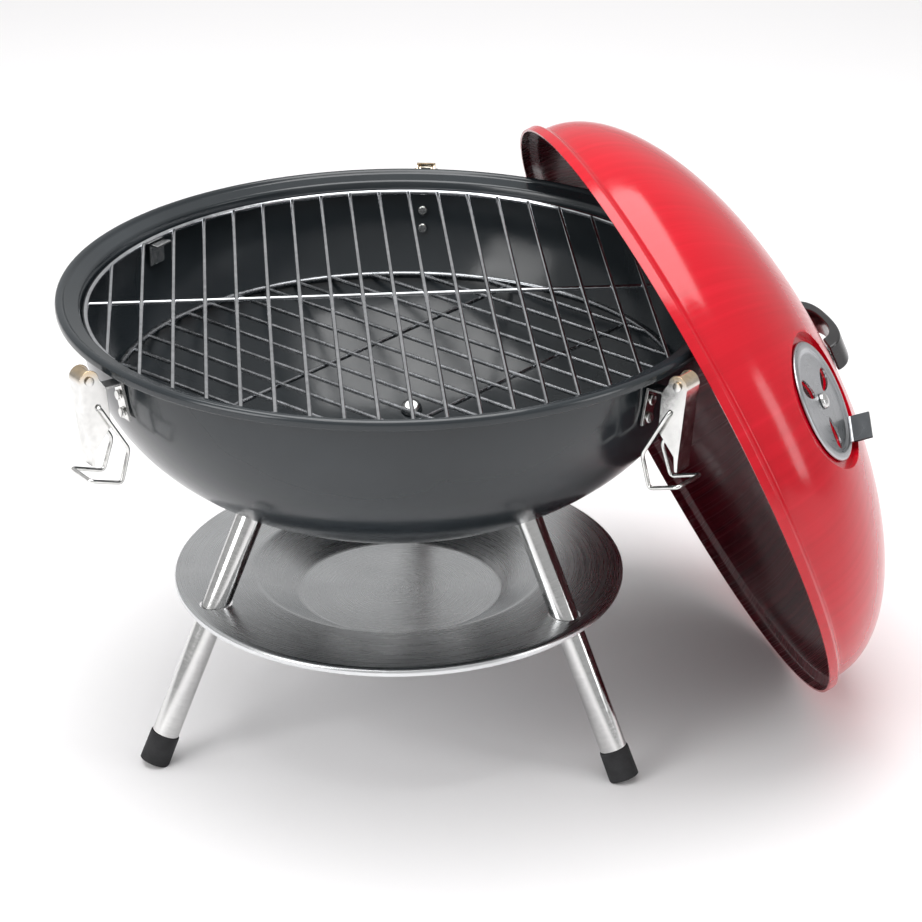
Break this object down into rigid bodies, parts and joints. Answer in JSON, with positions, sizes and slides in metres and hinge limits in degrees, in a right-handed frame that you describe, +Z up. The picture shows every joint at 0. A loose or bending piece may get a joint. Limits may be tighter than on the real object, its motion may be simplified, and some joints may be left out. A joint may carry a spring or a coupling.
{
  "type": "portable charcoal grill",
  "caption": "Portable charcoal grill: slate-black enamelled bowl on splayed steel legs with rubber feet, ash pan, wire grates, toggle latches, and a red domed lid leaning beside it.",
  "frame": {"origin": "on the surface the grill stands on, under the middle of the whole footprint box of the bowl and the lid beside it; the bowl's axis is 37.3 mm towards -X and 2.2 mm towards -Y from it", "axes": "+Z up; +X towards the leaning lid, level; +Y to the back, where the hidden leg is"},
  "size_m": [0.4439, 0.3608, 0.3222],
  "materials": {
    "bowl_enamel": "gloss porcelain enamel, slate black",
    "lid_enamel": "gloss porcelain enamel, red outside and dark maroon inside",
    "pan_steel": "satin pressed steel",
    "grate_chrome": "plated wire",
    "grate_steel": "plated wire, duller",
    "leg_steel": "polished tube",
    "bright_steel": "bright steel",
    "latch_steel": "bright plated steel",
    "damper_steel": "satin grey",
    "handle_plastic": "black, glossy",
    "foot_rubber": "black, matt"
  },
  "bodies": {
    "base": {"bowl": "bowl_enamel", "ash_pan": "pan_steel", "leg_left": "leg_steel", "leg_right": "leg_steel", "leg_rear": "leg_steel", "foot_cap_left": "foot_rubber", "foot_cap_right": "foot_rubber", "foot_cap_rear": "foot_rubber", "leg_plug_left": "leg_steel", "leg_plug_right": "leg_steel", "leg_plug_rear": "leg_steel", "leg_screw_left": "bright_steel", "leg_screw_right": "bright_steel", "leg_screw_rear": "bright_steel", "latch_bracket_left": "latch_steel", "latch_bracket_right": "latch_steel", "latch_bracket_rear": "latch_steel", "bracket_rivet_left_1": "latch_steel", "bracket_rivet_left_2": "latch_steel", "bracket_rivet_right_1": "latch_steel", "bracket_rivet_right_2": "latch_steel", "bracket_rivet_rear_1": "latch_steel", "bracket_rivet_rear_2": "latch_steel", "latch_pin_left": "latch_steel", "latch_pin_right": "latch_steel", "latch_pin_rear": "latch_steel", "grate_support_1": "bright_steel", "grate_support_2": "bright_steel", "grate_support_3": "bright_steel", "bowl_damper_rivet": "bright_steel"},
    "cooking_grate": {"cooking_grate": "grate_chrome"},
    "charcoal_grate": {"charcoal_grate": "grate_steel"},
    "bowl_damper": {"bowl_damper": "bright_steel"},
    "lid": {"lid": "lid_enamel", "handle": "handle_plastic", "handle_spacer_1": "handle_plastic", "handle_spacer_2": "handle_plastic", "handle_screw_1": "bright_steel", "handle_screw_2": "bright_steel", "damper_screw": "bright_steel", "damper_nut": "bright_steel"},
    "lid_damper": {"lid_damper": "damper_steel"},
    "lever_left": {"latch_lever_left": "latch_steel"},
    "bail_left": {"latch_bail_left": "latch_steel"},
    "lever_right": {"latch_lever_right": "latch_steel"},
    "bail_right": {"latch_bail_right": "latch_steel"},
    "lever_rear": {"latch_lever_rear": "latch_steel"},
    "bail_rear": {"latch_bail_rear": "latch_steel"}
  },
  "joints": [
    {"name": "cooking_grate_lift", "type": "slide", "parent": "base", "child": "cooking_grate", "axis": [0, 0, 1], "range_m": [0, 0.018]},
    {"name": "charcoal_grate_lift", "type": "slide", "parent": "base", "child": "charcoal_grate", "axis": [0, 0, 1], "range_m": [0, 0.03]},
    {"name": "bowl_damper_turn", "type": "hinge", "parent": "base", "child": "bowl_damper", "pos_m": [-0.0373, -0.0022, 0.1336], "axis": [0, 0, 1], "range_deg": [0, 60]},
    {"name": "lid_lift", "type": "slide", "parent": "base", "child": "lid", "axis": [0.9205, 0, 0.3907], "range_m": [0, 0.2]},
    {"name": "lid_damper_turn", "type": "hinge", "parent": "lid", "child": "lid_damper", "pos_m": [0.15244, -0.12845, 0.21277], "axis": [0.7577, -0.4585, 0.4644], "range_deg": [0, 60]},
    {"name": "latch_lever_left_turn", "type": "hinge", "parent": "base", "child": "lever_left", "pos_m": [-0.21411, -0.06308, 0.246], "axis": [-0.3256, 0.9455, 0], "range_deg": [0, 60]},
    {"name": "latch_bail_left_swing", "type": "hinge", "parent": "lever_left", "child": "bail_left", "pos_m": [-0.21024, -0.06175, 0.231], "axis": [0.3256, -0.9455, 0], "range_deg": [-176, 0]},
    {"name": "latch_lever_right_turn", "type": "hinge", "parent": "base", "child": "lever_right", "pos_m": [0.06727, -0.15723, 0.246], "axis": [-0.829, -0.5592, 0], "range_deg": [0, 60]},
    {"name": "latch_bail_right_swing", "type": "hinge", "parent": "lever_right", "child": "bail_right", "pos_m": [0.06498, -0.15383, 0.231], "axis": [0.829, 0.5592, 0], "range_deg": [-176, 0]},
    {"name": "latch_lever_rear_turn", "type": "hinge", "parent": "base", "child": "lever_rear", "pos_m": [0.02971, 0.17238, 0.246], "axis": [0.9336, -0.3584, 0], "range_deg": [0, 60]},
    {"name": "latch_bail_rear_swing", "type": "hinge", "parent": "lever_rear", "child": "bail_rear", "pos_m": [0.02824, 0.16855, 0.231], "axis": [-0.9336, 0.3584, 0], "range_deg": [-176, 0]}
  ]
}
